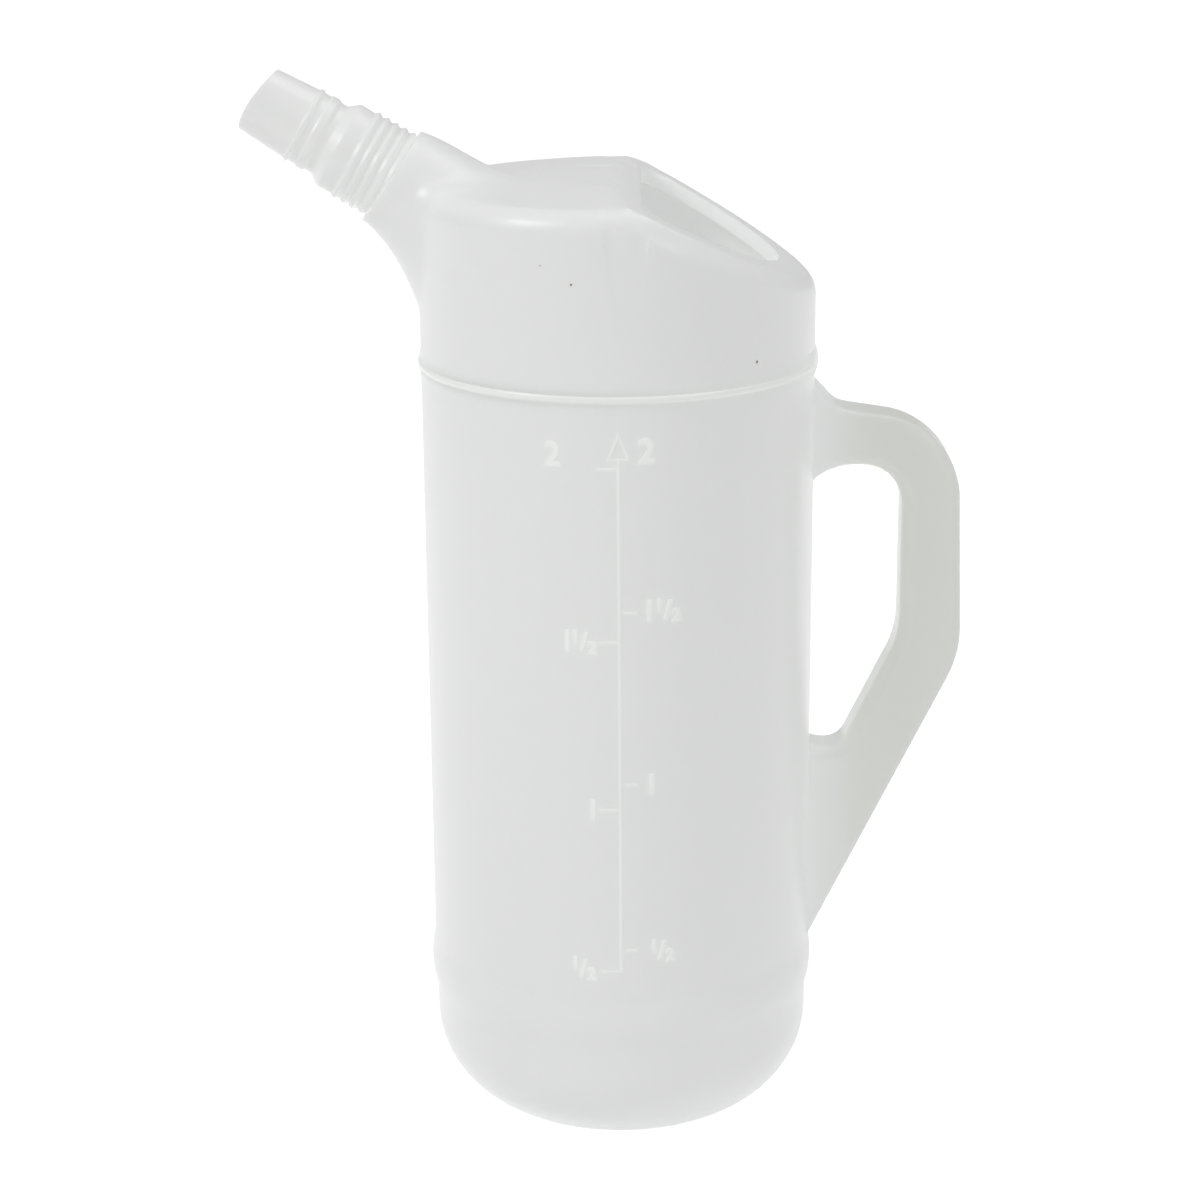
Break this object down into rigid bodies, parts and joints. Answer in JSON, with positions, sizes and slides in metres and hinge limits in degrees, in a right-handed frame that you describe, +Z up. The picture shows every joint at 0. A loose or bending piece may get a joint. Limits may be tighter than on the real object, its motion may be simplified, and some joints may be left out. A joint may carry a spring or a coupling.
{
  "type": "measuring pitcher",
  "caption": "Tall translucent plastic measuring jug with a side handle, a slanted filling opening and a flexible corrugated pouring spout.",
  "frame": {"origin": "on the table under the middle of the whole, spout tip to handle; the jug's own axis is 2.98 mm from it towards +X", "axes": "+Z up along the jug's axis, -X towards the spout, +X towards the handle, -Y towards the side with the scale"},
  "size_m": [0.206, 0.115, 0.3103],
  "materials": {
    "natural_polyethylene": "translucent, satin",
    "flexible_polyethylene": "translucent, satin"
  },
  "bodies": {
    "root": {"jug": "natural_polyethylene", "spout": "flexible_polyethylene"}
  },
  "joints": []
}
